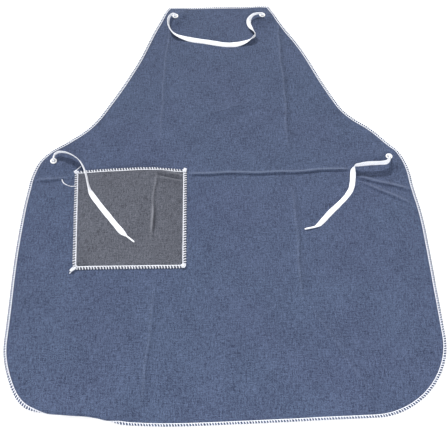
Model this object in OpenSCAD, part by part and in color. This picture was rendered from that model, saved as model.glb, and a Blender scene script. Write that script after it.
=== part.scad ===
// Welding apron of denim, lying on its back with the bib away from the viewer.
// +X is to the right when the apron is seen from the front, +Y runs from hem to bib,
// +Z is up, away from the wearer. The origin is under the middle of the apron.

/* [Apron] */
// Length from the hem to the top of the bib
apron_length = 914; // [800:2:1100]
// Width across the skirt
apron_width = 711; // [640:1:860]
// Thickness of the denim
cloth = 0.8; // [0.6:0.1:1.2]
// Width of the bib at its top
bib_width = 212; // [170:1:260]
// Straight length of the sides, from the hem line to the corner below the waist ties
side_length = 494; // [420:1:600]
// Width where the armhole turns outwards to the waist
elbow_width = 482; // [430:1:560]
// Height of that turn above the top of the straight sides
elbow_rise = 114; // [90:1:140]

/* [Corners] */
// Radius at the top corners of the bib
bib_round = 4; // [2:1:10]
// Radius where the armhole turns outwards
elbow_round = 180; // [60:5:200]
// Radius of the waist corner
waist_round = 90; // [40:5:100]
// Radius of the bottom corners
hem_round = 130; // [60:5:170]
// Angle at which the hem rises from its middle to each side
hem_slope = 2.9; // [0:0.1:5]
// Radius at the middle of the hem
hem_bow_round = 2500; // [1500:100:3500]

/* [Pocket] */
// Width of the pocket at its mouth
pocket_top = 205; // [150:1:230]
// Width of the pocket at its bottom
pocket_bottom = 192; // [140:1:220]
// Depth of the pocket
pocket_depth = 208; // [150:1:230]
// Distance of the mouth's middle from the middle of the apron
pocket_aside = 167.5; // [140:0.5:200]
// How much nearer the pocket's bottom is to the middle of the apron than its mouth
pocket_lean = 7; // [0:1:15]
// Distance of the pocket's mouth below the waist eyelets
pocket_drop = 21; // [15:1:40]
// How far the mouth stands open
pocket_gape = 9; // [7:0.5:14]
// Radius of the pocket's bottom corners
pocket_round = 10; // [5:1:20]

/* [Stitching] */
// Width of the overlock band on the body's edge
overlock = 5.5; // [4:0.5:8]
// Width of the overlock band on the pocket's edge
pocket_overlock = 6; // [4:0.5:8]
// Thickness of the overlock threads
thread = 0.5; // [0.3:0.1:0.8]
// Side of a corner tack
tack = 8; // [5:0.5:12]

/* [Eyelets] */
// Inside radius of an eyelet
eyelet_bore = 3.1; // [2.6:0.1:4]
// Outside radius of an eyelet's flange
eyelet_flange = 6.2; // [5.8:0.1:9]
// Distance of the neck eyelets from the top of the bib
neck_eyelet_drop = 31; // [20:1:45]
// Distance of the neck eyelets in from the bib's top corners
neck_eyelet_inset = 14; // [10:0.5:25]
// Distance of the waist eyelets above the corner of the straight sides
waist_eyelet_rise = 9; // [5:1:20]
// Distance of the waist eyelets in from the sides
waist_eyelet_inset = 44.5; // [35:0.5:60]

/* [Knots] */
// Radius of the knot that holds a tape behind its eyelet
knot_radius = 7; // [6:0.5:8.5]
// Height by which the knots lift the cloth
lift = 6.5; // [5.5:0.5:8]
// Radius of the lifted cloth round an eyelet
lift_radius = 45; // [36:1:50]

/* [Fold] */
// Distance of the bib's fold above the waist eyelets
fold_rise = 62; // [50:1:90]

/* [Hidden] */

denim = "#566484";
pocket_denim = "#6a6d7b";
white_thread = "#e6e7ec";
white_enamel = "#f1f1f3";
cotton = "#eef0f6";
plated_steel = "#b9bcc2";
clear_film = "#dfe3ec";

$fn = 48;
arc_steps = 12;
tall = 60;
skin = 0.02;

// Places that follow from the driving sizes
half_length = apron_length / 2;
half_width = apron_width / 2;
side_top = side_length - half_length;
neck_eyelet_x = bib_width / 2 - neck_eyelet_inset;
neck_eyelet_y = half_length - neck_eyelet_drop;
waist_eyelet_x = half_width - waist_eyelet_inset;
waist_eyelet_y = side_top + waist_eyelet_rise;
fold_y = waist_eyelet_y + fold_rise;
fold_gap = 0.4;
pocket_mouth_y = waist_eyelet_y - pocket_drop;
pocket_floor_y = pocket_mouth_y - pocket_depth;
pocket_foot_x = -pocket_aside + pocket_lean;
mouth_round = 1;
hem_low_y = -half_length - hem_bow_round * (1 / cos(hem_slope) - 1);
hem_corner_y = hem_low_y + half_width * tan(hem_slope);
hem_top = hem_corner_y + hem_round;

// Shape of the cloth where a knot lifts it: a small flat top, then two slopes
plateau = knot_radius + 2;
shoulder = 25;
shoulder_lift = 0.46 * lift;

// Eyelet, washer and knot stack, measured down from the underside of the lifted cloth
barrel_wall = 0.35;
barrel_fit = 0.05;
washer_thick = 0.5;
washer_radius = eyelet_flange - 0.4;
curl_thick = 0.45;
curl_radius = eyelet_bore + 1.2;
flange_thick = 1.2;
flange_edge = 0.35;
flange_turn = 1.8;
mouth_turn = 0.9;
knot_bulge = 2;
stub_turn = 0.9;
knot_top = lift - washer_thick - curl_thick - skin;
stub_radius = eyelet_bore - 0.3;
mouth_z = lift + cloth + flange_thick;
tail_size = [12, 8, 1.3];
tail_start = knot_radius - 2.5;
tail_lift = 0.4;

NECK_LEFT = [-neck_eyelet_x, neck_eyelet_y];
NECK_RIGHT = [neck_eyelet_x, neck_eyelet_y];
WAIST_LEFT = [-waist_eyelet_x, waist_eyelet_y];
WAIST_RIGHT = [waist_eyelet_x, waist_eyelet_y];

// Routes of the tapes as they lie: x, y, z of the middle, width, thickness, roll in degrees.
// A roll of 0 lies flat and a roll of 90 stands on edge.
NECK_ROUTE = [
    [ -92, 426, 12.0,  4.6, 2.8,  90], [ -97, 427, 12.6,  5.0, 2.6,  90],
    [-102, 423, 12.2,  6.5, 2.0,  80], [-106, 413, 11.4,  9.0, 1.5,  68],
    [-106, 399, 10.0, 10.0, 1.3,  62], [-101, 384,  8.2, 10.0, 1.3,  58],
    [ -90, 372,  6.2, 10.0, 1.3,  30], [ -72, 363,  4.6, 10.0, 1.3,  -5],
    [ -51, 356,  4.6, 10.0, 1.3, -25], [ -30, 352,  4.4, 10.0, 1.3, -22],
    [  -9, 347,  4.4, 10.0, 1.3, -22], [  14, 342,  4.6, 10.0, 1.3, -25],
    [  36, 343,  4.6, 10.0, 1.3, -20], [  55, 350,  5.2, 10.0, 1.3,  15],
    [  70, 361,  6.6, 10.0, 1.3,  75], [  75, 368,  6.9, 10.0, 1.3,  95],
    [  73, 376,  6.8, 10.0, 1.3, 115], [  67, 389,  5.4, 10.0, 1.3, 155],
    [  63, 402,  6.0, 10.0, 1.3, 160], [  64, 412,  8.6,  9.0, 1.4, 150],
    [  71, 421, 11.6,  6.5, 2.0, 125], [  80, 424, 13.4,  5.2, 2.4,  95],
    [  87, 425, 12.6,  4.8, 2.6,  90], [  92, 426, 12.0,  4.6, 2.8,  90]
];
LEFT_ROUTE = [
    [-311,  46, 12.0,  4.6, 2.8,  90], [-310,  52, 13.0,  5.0, 2.6,  90],
    [-308,  58, 13.4,  6.0, 2.0,  90], [-302,  62, 13.4,  7.5, 1.6,  85],
    [-293,  62, 13.0,  9.0, 1.4,  75], [-283,  59, 12.4, 10.0, 1.3,  70],
    [-272,  52, 12.0, 10.0, 1.3,  70], [-261,  41, 11.6, 10.0, 1.3,  70],
    [-253,  25, 11.6, 10.0, 1.3,  70], [-247,   8, 11.7, 10.0, 1.3,  70],
    [-243,  -8, 11.2, 10.0, 1.3,  70], [-239, -21,  9.8, 10.0, 1.3,  55],
    [-235, -30,  8.2, 10.0, 1.3,  20], [-228, -41,  7.0, 10.0, 1.3,   5],
    [-216, -58,  6.5, 10.0, 1.3,   0], [-202, -77,  6.5, 10.0, 1.3,   0],
    [-188, -96,  6.3, 10.0, 1.3,   0], [-177, -110, 6.1, 10.0, 1.3,   0],
    [-172, -115, 6.1,  7.0, 1.6,   0], [-168, -119, 6.2,  3.0, 2.2,   0]
];
RIGHT_ROUTE = [
    [ 311,  46, 12.0,  4.6, 2.8,  90], [ 311,  40, 12.9,  6.0, 2.2,  65],
    [ 308,  33, 13.0,  8.5, 1.6,  58], [ 302,  28, 13.2, 10.0, 1.3,  72],
    [ 288,  26, 13.8, 10.0, 1.3,  80], [ 268,  25, 13.8, 10.0, 1.3,  80],
    [ 253,  24, 12.2, 10.0, 1.3,  86], [ 245,  23, 10.6, 10.0, 1.3,  98],
    [ 241,  17,  7.8, 10.0, 1.3, 140], [ 240,   7,  4.6, 10.0, 1.3, 172],
    [ 238,  -8,  2.5, 10.0, 1.3, 180], [ 233, -25,  2.3, 10.0, 1.3, 180],
    [ 222, -42,  2.3, 10.0, 1.3, 180], [ 208, -57,  2.3, 10.0, 1.3, 180],
    [ 193, -72,  2.3, 10.0, 1.3, 180], [ 179, -88,  2.3, 10.0, 1.3, 180],
    [ 171, -97,  2.5,  9.0, 1.4, 180], [ 166, -101, 2.8,  6.0, 1.8, 180],
    [ 161, -104, 3.0,  3.0, 2.2, 180]
];
tip_lap = 3;
LEFT_TIP_END = [-154, -131, 5.4];
RIGHT_TIP_END = [143, -108, 3.0];
tip_radius = 1.7;
tip_point = 2;

LOOSE_ROUTE = [
    [-267,  -8, 3.2, 0.8, 0.8, 0], [-273,  -9, 2.4, 0.8, 0.8, 0], [-280,  -7, 1.6, 0.8, 0.8, 0],
    [-287,  -3, 1.5, 0.8, 0.8, 0], [-291,   2, 1.9, 0.8, 0.8, 0], [-293,   8, 2.6, 0.8, 0.8, 0]
];
MOUTH_END_ROUTE = [
    [-269,  26.5, 1.6, 0.8, 0.8, 0], [-265,  31, 1.7, 0.8, 0.8, 0], [-261,  36, 1.5, 0.8, 0.8, 0]
];
BOTTOM_END_ROUTE = [
    [-257.5, -185, 1.6, 0.8, 0.8, 0], [-259.5, -187, 1.7, 0.8, 0.8, 0], [-261, -189, 1.5, 0.8, 0.8, 0]
];

// ---------- outlines ----------

function unit(v) = v / norm(v);

// Points of a rounded corner at b, between neighbours a and c.
function rounded(a, b, c, r) =
    let (
        ab = unit(a - b), cb = unit(c - b),
        half = acos(max(-1, min(1, ab * cb))) / 2,
        run = r / tan(half),
        middle = b + unit(ab + cb) * r / sin(half),
        from = b + ab * run - middle, to = b + cb * run - middle,
        turn = 180 - 2 * half,
        way = cross(from, to) > 0 ? 1 : -1
    )
    [for (i = [0:arc_steps])
        let (angle = way * turn * i / arc_steps)
        middle + [from[0] * cos(angle) - from[1] * sin(angle),
                  from[0] * sin(angle) + from[1] * cos(angle)]];

// A closed outline through corners [x, y, radius].
function rounded_outline(corners) =
    let (n = len(corners))
    [for (i = [0:n - 1])
        let (a = corners[(i + n - 1) % n], b = corners[i], c = corners[(i + 1) % n])
        each rounded([a[0], a[1]], [b[0], b[1]], [c[0], c[1]], b[2])];

// The corner where two lines meet after each moves inwards by d.
function inset_corner(a, b, c, d) =
    let (
        u = unit(b - a), v = unit(c - b),
        nu = [-u[1], u[0]], nv = [-v[1], v[0]]
    )
    b + (nu + nv) * d / (1 + nu * nv);

// The same outline moved inwards by d. The corners run anticlockwise.
function inset(corners, d) =
    let (n = len(corners))
    [for (i = [0:n - 1])
        let (
            a = corners[(i + n - 1) % n], b = corners[i], c = corners[(i + 1) % n],
            p = [a[0], a[1]], q = [b[0], b[1]], s = [c[0], c[1]],
            convex = cross(q - p, s - q) > 0,
            spot = inset_corner(p, q, s, d)
        )
        [spot[0], spot[1], max(0.3, convex ? b[2] - d : b[2] + d)]];

BODY_CORNERS = [
    [0, hem_low_y, hem_bow_round],
    [half_width, hem_corner_y, hem_round],
    [half_width, side_top, waist_round],
    [elbow_width / 2, side_top + elbow_rise, elbow_round],
    [bib_width / 2, half_length, bib_round],
    [-bib_width / 2, half_length, bib_round],
    [-elbow_width / 2, side_top + elbow_rise, elbow_round],
    [-half_width, side_top, waist_round],
    [-half_width, hem_corner_y, hem_round]
];
POCKET_CORNERS = [
    [pocket_foot_x + pocket_bottom / 2, pocket_floor_y, pocket_round],
    [-pocket_aside + pocket_top / 2, pocket_mouth_y, mouth_round],
    [-pocket_aside - pocket_top / 2, pocket_mouth_y, mouth_round],
    [pocket_foot_x - pocket_bottom / 2, pocket_floor_y, pocket_round]
];

// The cloth's outline stops short of the full size by the threads that wrap its edge.
module body_shape(d) { polygon(rounded_outline(inset(BODY_CORNERS, d))); }

module pocket_shape(d) { polygon(rounded_outline(inset(POCKET_CORNERS, d))); }

// ---------- cloth lying over the knots ----------

function lifted(r) =
    r <= plateau ? lift :
    r <= shoulder ? lift + (shoulder_lift - lift) * (r - plateau) / (shoulder - plateau) :
    r <= lift_radius ? shoulder_lift * (lift_radius - r) / (lift_radius - shoulder) : 0;

// The space between two heights above the lifted cloth's underside, round one eyelet.
module lift_shell(low, high) {
    stations = [0, plateau, shoulder, lift_radius];
    rotate_extrude()
        polygon(concat(
            [for (r = stations) [r, lifted(r) + low]],
            [for (i = [len(stations) - 1:-1:0]) [stations[i], lifted(stations[i]) + high]]));
}

// Lays a flat shape on the cloth between two heights, over the knots where it meets them.
module laid(low, high, spots) {
    difference() {
        translate([0, 0, low])
            linear_extrude(high - low)
                children();
        for (p = spots)
            translate([p[0], p[1], -1])
                cylinder(r = lift_radius, h = tall);
    }
    for (p = spots)
        intersection() {
            translate([0, 0, -1])
                linear_extrude(tall)
                    children();
            translate([p[0], p[1], 0])
                lift_shell(low, high);
        }
}

// Half of the apron on one side of the fold.
module beyond_fold() {
    translate([-apron_width, fold_y + fold_gap])
        square([2 * apron_width, apron_length]);
}

module below_fold() {
    translate([-apron_width, fold_y - fold_gap - 2 * apron_length])
        square([2 * apron_width, 2 * apron_length]);
}

module eyelet_holes(spots) {
    for (p = spots)
        translate([p[0], p[1], -1])
            cylinder(r = eyelet_bore + barrel_wall + barrel_fit, h = tall);
}

module skirt_panel() {
    color(denim)
        difference() {
            laid(0, cloth, [WAIST_LEFT, WAIST_RIGHT])
                intersection() {
                    body_shape(thread);
                    below_fold();
                }
            eyelet_holes([WAIST_LEFT, WAIST_RIGHT]);
        }
}

module bib_panel() {
    color(denim)
        difference() {
            laid(0, cloth, [NECK_LEFT, NECK_RIGHT])
                intersection() {
                    body_shape(thread);
                    beyond_fold();
                }
            eyelet_holes([NECK_LEFT, NECK_RIGHT]);
        }
}

// ---------- overlocked edges of the body ----------

// The threads lie on the cloth as a band and wrap down over its cut edge.
module overlock_run(spots) {
    color(white_thread) {
        laid(cloth, cloth + thread, spots)
            intersection() {
                difference() {
                    body_shape(0);
                    body_shape(overlock);
                }
                children();
            }
        laid(0, cloth, spots)
            intersection() {
                difference() {
                    body_shape(0);
                    body_shape(thread);
                }
                children();
            }
    }
}

module side_region(side) {
    intersection() {
        below_fold();
        translate([side > 0 ? 0 : -apron_width, hem_top])
            square([apron_width, apron_length]);
    }
}

module left_side_overlock() { overlock_run([WAIST_LEFT, WAIST_RIGHT]) side_region(-1); }

module right_side_overlock() { overlock_run([WAIST_LEFT, WAIST_RIGHT]) side_region(1); }

module hem_overlock() {
    overlock_run([])
        translate([-apron_width, hem_top - skin - apron_length])
            square([2 * apron_width, apron_length]);
}

// The armhole runs stop below the corner's rounding, where the top run takes over.
module armhole_region(side) {
    intersection() {
        beyond_fold();
        translate([side > 0 ? 0 : -apron_width, 0])
            square([apron_width, half_length - overlock]);
    }
}

module left_armhole_overlock() { overlock_run([NECK_LEFT, NECK_RIGHT]) armhole_region(-1); }

module right_armhole_overlock() { overlock_run([NECK_LEFT, NECK_RIGHT]) armhole_region(1); }

module bib_top_overlock() {
    overlock_run([NECK_LEFT, NECK_RIGHT])
        translate([-apron_width / 2, half_length - overlock + skin])
            square([apron_width, overlock * 2]);
}

// ---------- pocket ----------

pocket_columns = 24;
pocket_rows = 12;
seam_width = 0.8;
pocket_margin = pocket_overlock + seam_width + 0.2;
seam_lap = 1;
tack_width = 0.55 * tack;
tack_height = 1.2;
tack_lean = 40;
tack_in = pocket_overlock / 2;
tack_corner = 1;

// Half of the pocket's width, and its middle, at a height above its floor.
function pocket_half(y) =
    (pocket_bottom + (pocket_top - pocket_bottom) * y / pocket_depth) / 2;

function pocket_middle_x(y) = -pocket_aside + pocket_lean * (1 - y / pocket_depth);

// Height of the pocket's underside above the cloth: nothing along the seams, most at the mouth.
function pocket_bulge(across, up) =
    let (
        s = max(0, min(1, across)),
        v = max(0, min(1, up))
    )
    pocket_gape * sin(180 * s) * v;

function pocket_point(i, y, above) =
    let (
        half = pocket_half(y) - pocket_margin,
        across = i / pocket_columns,
        up = (y - pocket_margin) / (pocket_depth - pocket_margin)
    )
    [pocket_middle_x(y) - half + 2 * half * across, pocket_floor_y + y,
     cloth + pocket_bulge(across, up) + above];

// A curved sheet between two heights above the pocket's underside, over a span of its depth.
module pocket_sheet(y_low, y_high, rows, low, high) {
    n = pocket_columns + 1;
    count = n * (rows + 1);
    lower = [for (j = [0:rows]) for (i = [0:pocket_columns])
        pocket_point(i, y_low + (y_high - y_low) * j / rows, low)];
    upper = [for (j = [0:rows]) for (i = [0:pocket_columns])
        pocket_point(i, y_low + (y_high - y_low) * j / rows, high)];
    top_faces = [for (j = [0:rows - 1]) for (i = [0:pocket_columns - 1])
        let (a = count + j * n + i)
        each [[a, a + n, a + 1], [a + 1, a + n, a + n + 1]]];
    low_faces = [for (j = [0:rows - 1]) for (i = [0:pocket_columns - 1])
        let (a = j * n + i)
        each [[a, a + 1, a + n], [a + 1, a + n + 1, a + n]]];
    end_faces = [for (i = [0:pocket_columns - 1])
        each [[i, count + i, i + 1], [i + 1, count + i, count + i + 1],
              [rows * n + i, rows * n + i + 1, count + rows * n + i],
              [rows * n + i + 1, count + rows * n + i + 1, count + rows * n + i]]];
    side_faces = [for (j = [0:rows - 1])
        each [[j * n, (j + 1) * n, count + j * n],
              [(j + 1) * n, count + (j + 1) * n, count + j * n],
              [j * n + n - 1, count + j * n + n - 1, (j + 1) * n + n - 1],
              [(j + 1) * n + n - 1, count + j * n + n - 1, count + (j + 1) * n + n - 1]]];
    polyhedron(
        points = concat(lower, upper),
        faces = concat(top_faces, low_faces, end_faces, side_faces),
        convexity = 8);
}

// The flat seam allowance on three sides, and the curved middle.
module pocket_panel() {
    color(pocket_denim) {
        translate([0, 0, cloth])
            linear_extrude(cloth)
                difference() {
                    pocket_shape(thread);
                    pocket_middle(seam_lap);
                }
        pocket_sheet(pocket_margin, pocket_depth - thread, pocket_rows, 0, cloth);
    }
}

// The part of the pocket inside its seams, made smaller by d on three sides.
module pocket_middle(d) {
    low_half = pocket_half(pocket_margin) - pocket_margin - d;
    high_half = pocket_half(pocket_depth) - pocket_margin - d;
    low_x = pocket_middle_x(pocket_margin);
    y_low = pocket_floor_y + pocket_margin + d;
    polygon([[low_x - low_half, y_low], [low_x + low_half, y_low],
             [-pocket_aside + high_half, pocket_mouth_y],
             [-pocket_aside - high_half, pocket_mouth_y]]);
}

// Threads on the pocket's edge, inside a region.
module pocket_run() {
    color(white_thread) {
        translate([0, 0, 2 * cloth])
            linear_extrude(thread)
                intersection() {
                    difference() {
                        pocket_shape(0);
                        pocket_shape(pocket_overlock - skin);
                        pocket_middle(0);
                    }
                    children();
                }
        translate([0, 0, cloth])
            linear_extrude(cloth)
                intersection() {
                    difference() {
                        pocket_shape(0);
                        pocket_shape(thread);
                        pocket_middle(0);
                    }
                    children();
                }
    }
}

module pocket_side_region(side) {
    translate([-pocket_aside + (side > 0 ? 0 : -pocket_top), pocket_floor_y + pocket_round])
        square([pocket_top, pocket_depth]);
}

module pocket_left_overlock() { pocket_run() pocket_side_region(-1); }

module pocket_right_overlock() { pocket_run() pocket_side_region(1); }

module pocket_bottom_overlock() {
    pocket_run()
        translate([-pocket_aside - pocket_top, pocket_floor_y - pocket_round])
            square([2 * pocket_top, 2 * pocket_round - skin]);
}

module pocket_mouth_overlock() {
    color(white_thread)
        pocket_sheet(pocket_depth - pocket_overlock, pocket_depth, 1, cloth + skin, cloth + thread);
}

// The line of lock stitches that sews the pocket to the body, inside its overlocked edge.
module pocket_seam() {
    color(white_thread)
        translate([0, 0, 2 * cloth])
            linear_extrude(thread)
                difference() {
                    pocket_shape(pocket_overlock);
                    pocket_shape(pocket_overlock + seam_width);
                    pocket_middle(0);
                }
}

// A tack of threads that closes the overlock at one corner of the pocket.
module pocket_tack(x, y, lean) {
    color(white_thread)
        translate([x, y, 2 * cloth + thread + skin])
            rotate([0, 0, lean])
                thread_bead(tack, tack_width, tack_height);
}

// A low bead of threads with round ends.
module thread_bead(long, wide, high) {
    linear_extrude(high)
        union() {
            for (s = [-1, 1])
                translate([s * (long - wide) / 2, 0])
                    circle(d = wide);
            square([long - wide, wide], center = true);
        }
}

module pocket_tack_top_left() {
    pocket_tack(tack_in - pocket_aside - pocket_top / 2, pocket_mouth_y - tack_in, -tack_lean);
}

module pocket_tack_top_right() {
    pocket_tack(pocket_top / 2 - pocket_aside - tack_in, pocket_mouth_y - tack_in, tack_lean);
}

module pocket_tack_bottom_left() {
    pocket_tack(pocket_foot_x - pocket_bottom / 2 + tack_corner, pocket_floor_y + tack_corner,
                tack_lean);
}

module pocket_tack_bottom_right() {
    pocket_tack(pocket_foot_x + pocket_bottom / 2 - tack_in, pocket_floor_y + tack_in, -tack_lean);
}

// ---------- eyelets, washers and knots ----------

round_steps = 4;

// The turned-down rounding of the flange, from its edge up to its top, wide across.
function flange_round(x, wide) =
    [for (i = [0:round_steps])
        let (angle = 90 * i / round_steps)
        [x - wide * (1 - cos(angle)),
         cloth + flange_edge + (flange_thick - flange_edge) * sin(angle)]];

function backwards(points) = [for (i = [len(points) - 1:-1:0]) points[i]];

// A rolled flange on the front and a barrel curled over the washer behind.
module eyelet(p) {
    barrel = eyelet_bore + barrel_wall;
    color(white_enamel)
        translate([p[0], p[1], lift])
            rotate_extrude()
                polygon(concat(
                    [[eyelet_bore, -washer_thick - curl_thick],
                     [curl_radius, -washer_thick - curl_thick],
                     [curl_radius, -washer_thick],
                     [barrel, -washer_thick],
                     [barrel, cloth],
                     [eyelet_flange, cloth]],
                    flange_round(eyelet_flange, flange_turn),
                    backwards(flange_round(eyelet_bore, -mouth_turn))));
}

module washer(p) {
    color(plated_steel)
        translate([p[0], p[1], lift - washer_thick])
            difference() {
                cylinder(r = washer_radius, h = washer_thick);
                translate([0, 0, -1])
                    cylinder(r = eyelet_bore + barrel_wall + barrel_fit, h = washer_thick + 2);
            }
}

// The knot behind the eyelet, its short tail, and the stub of tape that comes up through the hole.
module knot(p, away) {
    belly = [for (i = [-round_steps:round_steps])
        let (angle = 90 * i / round_steps)
        [knot_radius - knot_bulge * (1 - cos(angle)), knot_top * (1 + sin(angle)) / 2]];
    color(cotton)
        translate([p[0], p[1], 0]) {
            rotate_extrude()
                polygon(concat(
                    [[0, 0]],
                    belly,
                    [[stub_radius, knot_top], [stub_radius, mouth_z - stub_turn],
                     [stub_radius - stub_turn, mouth_z], [0, mouth_z]]));
            rotate([0, 0, away])
                translate([tail_start, -tail_size[1] / 2, tail_lift])
                    cube(tail_size);
        }
}

module left_neck_eyelet() { eyelet(NECK_LEFT); }

module right_neck_eyelet() { eyelet(NECK_RIGHT); }

module left_waist_eyelet() { eyelet(WAIST_LEFT); }

module right_waist_eyelet() { eyelet(WAIST_RIGHT); }

module left_neck_washer() { washer(NECK_LEFT); }

module right_neck_washer() { washer(NECK_RIGHT); }

module left_waist_washer() { washer(WAIST_LEFT); }

module right_waist_washer() { washer(WAIST_RIGHT); }

module left_neck_knot() { knot(NECK_LEFT, -60); }

module right_neck_knot() { knot(NECK_RIGHT, 240); }

module left_waist_knot() { knot(WAIST_LEFT, -40); }

module right_waist_knot() { knot(WAIST_RIGHT, 220); }

// ---------- tapes ----------

spline_steps = 3;

// A point on a smooth curve through b and c, with a and d as their neighbours.
function between(a, b, c, d, t) =
    0.5 * ((2 * b) + (c - a) * t + (2 * a - 5 * b + 4 * c - d) * t * t
           + (3 * b - a - 3 * c + d) * t * t * t);

function smooth(route) =
    let (n = len(route))
    [for (i = [0:n - 2]) for (s = [0:spline_steps - 1])
        between(route[max(0, i - 1)], route[i], route[i + 1], route[min(n - 1, i + 2)],
                s / spline_steps),
     route[n - 1]];

function place(p) = [p[0], p[1], p[2]];

// Eight points round a flat tape's section.
function tape_section(w, t) = [
    [w / 2, -t / 4], [w / 2, t / 4], [w / 2 - t / 4, t / 2], [t / 4 - w / 2, t / 2],
    [-w / 2, t / 4], [-w / 2, -t / 4], [t / 4 - w / 2, -t / 2], [w / 2 - t / 4, -t / 2]
];

function tape_ring(path, i) =
    let (
        n = len(path),
        p = path[i],
        along = unit(place(path[min(n - 1, i + 1)]) - place(path[max(0, i - 1)])),
        level = unit([along[1], -along[0], 0]),
        up = cross(level, along),
        wide = level * cos(p[5]) + up * sin(p[5]),
        thin = up * cos(p[5]) - level * sin(p[5])
    )
    [for (q = tape_section(p[3], p[4])) place(p) + wide * q[0] + thin * q[1]];

module tape(route) {
    path = smooth(route);
    n = len(path);
    rings = [for (i = [0:n - 1]) each tape_ring(path, i)];
    walls = [for (i = [0:n - 2]) for (k = [0:7])
        let (a = i * 8 + k, b = i * 8 + (k + 1) % 8)
        each [[a, b, a + 8], [b, b + 8, a + 8]]];
    ends = [[for (k = [7:-1:0]) k], [for (k = [0:7]) (n - 1) * 8 + k]];
    polyhedron(points = rings, faces = concat(walls, ends), convexity = 10);
}

module neck_tape() { color(cotton) tape(NECK_ROUTE); }

module left_tie() { color(cotton) tape(LEFT_ROUTE); }

module right_tie() { color(cotton) tape(RIGHT_ROUTE); }

// The film that binds a tie's end to a point.
module tie_tip(route, end) {
    tape_end = place(route[len(route) - 1]);
    start = tape_end - unit(end - tape_end) * tip_lap;
    way = end - start;
    barrel = norm(way) - tip_point;
    color(clear_film)
        translate(start)
            rotate([0, acos(way[2] / norm(way)), atan2(way[1], way[0])]) {
                cylinder(r = tip_radius, h = barrel);
                translate([0, 0, barrel])
                    cylinder(r1 = tip_radius, r2 = tip_radius - 0.7, h = tip_point);
            }
}

module left_tie_tip() { tie_tip(LEFT_ROUTE, LEFT_TIP_END); }

module right_tie_tip() { tie_tip(RIGHT_ROUTE, RIGHT_TIP_END); }

module loose_thread() { color(white_thread) tape(LOOSE_ROUTE); }

module mouth_thread_end() { color(white_thread) tape(MOUTH_END_ROUTE); }

module bottom_thread_end() { color(white_thread) tape(BOTTOM_END_ROUTE); }

skirt_panel();
bib_panel();
pocket_panel();
left_side_overlock();
right_side_overlock();
hem_overlock();
bib_top_overlock();
left_armhole_overlock();
right_armhole_overlock();
pocket_mouth_overlock();
pocket_left_overlock();
pocket_right_overlock();
pocket_bottom_overlock();
pocket_seam();
pocket_tack_top_left();
pocket_tack_top_right();
pocket_tack_bottom_left();
pocket_tack_bottom_right();
left_neck_eyelet();
right_neck_eyelet();
left_waist_eyelet();
right_waist_eyelet();
left_neck_washer();
right_neck_washer();
left_waist_washer();
right_waist_washer();
left_neck_knot();
right_neck_knot();
left_waist_knot();
right_waist_knot();
neck_tape();
left_tie();
right_tie();
left_tie_tip();
right_tie_tip();
loose_thread();
mouth_thread_end();
bottom_thread_end();
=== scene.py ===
"""Welding apron of denim, lying on its back: its looks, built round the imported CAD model.

Shapes are worked out in millimetres in the row's frame. Each mesh is turned into metres as it is
made.
"""
import math

import bpy
import numpy as np
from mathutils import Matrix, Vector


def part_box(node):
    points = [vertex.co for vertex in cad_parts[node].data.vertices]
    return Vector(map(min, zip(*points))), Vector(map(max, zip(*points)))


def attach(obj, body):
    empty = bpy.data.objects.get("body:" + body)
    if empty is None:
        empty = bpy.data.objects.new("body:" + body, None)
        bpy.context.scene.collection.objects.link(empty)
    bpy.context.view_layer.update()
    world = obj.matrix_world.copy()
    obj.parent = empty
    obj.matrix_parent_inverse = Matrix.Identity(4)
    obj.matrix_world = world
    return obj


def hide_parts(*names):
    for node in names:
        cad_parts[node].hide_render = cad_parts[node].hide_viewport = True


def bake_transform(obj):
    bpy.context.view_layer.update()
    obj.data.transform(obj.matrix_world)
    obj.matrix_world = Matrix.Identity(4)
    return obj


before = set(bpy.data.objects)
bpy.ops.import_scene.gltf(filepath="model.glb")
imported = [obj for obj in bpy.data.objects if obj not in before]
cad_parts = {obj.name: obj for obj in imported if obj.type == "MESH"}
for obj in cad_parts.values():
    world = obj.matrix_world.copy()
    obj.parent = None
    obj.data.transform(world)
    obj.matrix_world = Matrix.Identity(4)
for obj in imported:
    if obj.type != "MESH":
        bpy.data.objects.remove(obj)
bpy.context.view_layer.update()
MM = 0.001
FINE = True
random = np.random.default_rng(36)


def node_box(name):
    """A CAD node's lowest and highest corners, in millimetres."""
    low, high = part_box(name)
    return np.array(low) / MM, np.array(high) / MM


def middle(name):
    low, high = node_box(name)
    return (low + high) / 2


# ---------- sizes ----------

# The apron's outline, from the CAD nodes and the corners' radii.
HEM_LOW, HEM_HIGH = node_box("hem_overlock")
HALF_WIDTH = HEM_HIGH[0]
HALF_LENGTH = -HEM_LOW[1]
HEM_ROUND = 130
HEM_CORNER_Y = HEM_HIGH[1] - HEM_ROUND
HEM_SLOPE = math.radians(2.9)
HEM_BOW_ROUND = 2500
BIB_HALF = 106
ELBOW_HALF = 241
SIDE_TOP = 37
ELBOW_RISE = 114
WAIST_ROUND = 90
ELBOW_ROUND = 180
BIB_ROUND = 4

# The fold between skirt and bib.
FOLD_Y = node_box("bib_panel")[0][1]

# The cloth's thickness, and the least height of its underside where it lies flat.
THICK = 0.8
REST = 0.75

EYELETS = {name: middle(f"{name}_eyelet")
           for name in ("left_neck", "right_neck", "left_waist", "right_waist")}
EYELET_TOP = node_box("left_neck_eyelet")[1][2]
KNOT_RADIUS = 7
LIFT = 6.5
LIFT_RADIUS = 56

POCKET_LOW, POCKET_HIGH = node_box("pocket_panel")
POCKET_DEPTH = POCKET_HIGH[1] - POCKET_LOW[1]
POCKET_X = -167.5
POCKET_LEAN = 7
POCKET_TOP_HALF = 102.5
POCKET_BOTTOM_HALF = 96
POCKET_ROUND = 10
POCKET_GAPE = 9
POCKET_MARGIN = 7

# The overlock's stitch length and how far its band reaches in, on the body and on the pocket.
STITCH = 4.35
BAND = 4.4
POCKET_STITCH = 5.0
POCKET_BAND = 4.9

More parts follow.
